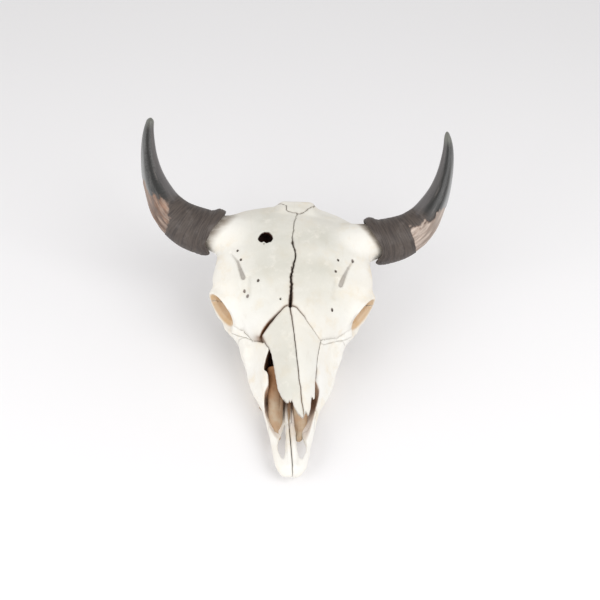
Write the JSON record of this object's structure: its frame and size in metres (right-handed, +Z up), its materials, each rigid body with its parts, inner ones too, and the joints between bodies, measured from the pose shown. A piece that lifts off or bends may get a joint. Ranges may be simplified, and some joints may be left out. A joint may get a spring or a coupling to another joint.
{
  "type": "bison skull",
  "caption": "Bleached skull of an American bison bull with horn sheaths and no lower jaw, lying on its cheek teeth.",
  "frame": {"origin": "on the ground, under the middle of the skull's box", "axes": "+Z up, nose toward -Y, +X toward the animal's left horn"},
  "size_m": [0.6116, 0.5932, 0.3701],
  "materials": {
    "bone": "bleached dry bone, matte",
    "toothed_bone": "bleached bone with worn tooth enamel",
    "horn": "ringed horn, half glossy, peeling in places"
  },
  "bodies": {
    "root": {"frontal_left": "bone", "frontal_right": "bone", "nasal_left": "bone", "nasal_right": "bone", "lacrimal_left": "bone", "lacrimal_right": "bone", "zygomatic_left": "bone", "zygomatic_right": "bone", "premaxilla_left": "bone", "premaxilla_right": "bone", "temporal_left": "bone", "temporal_right": "bone", "occipital": "bone", "parietal": "bone", "palatine": "bone", "maxilla_left": "toothed_bone", "maxilla_right": "toothed_bone", "sphenoid": "bone", "horn_sheath_left": "horn", "horn_sheath_right": "horn"}
  },
  "joints": []
}
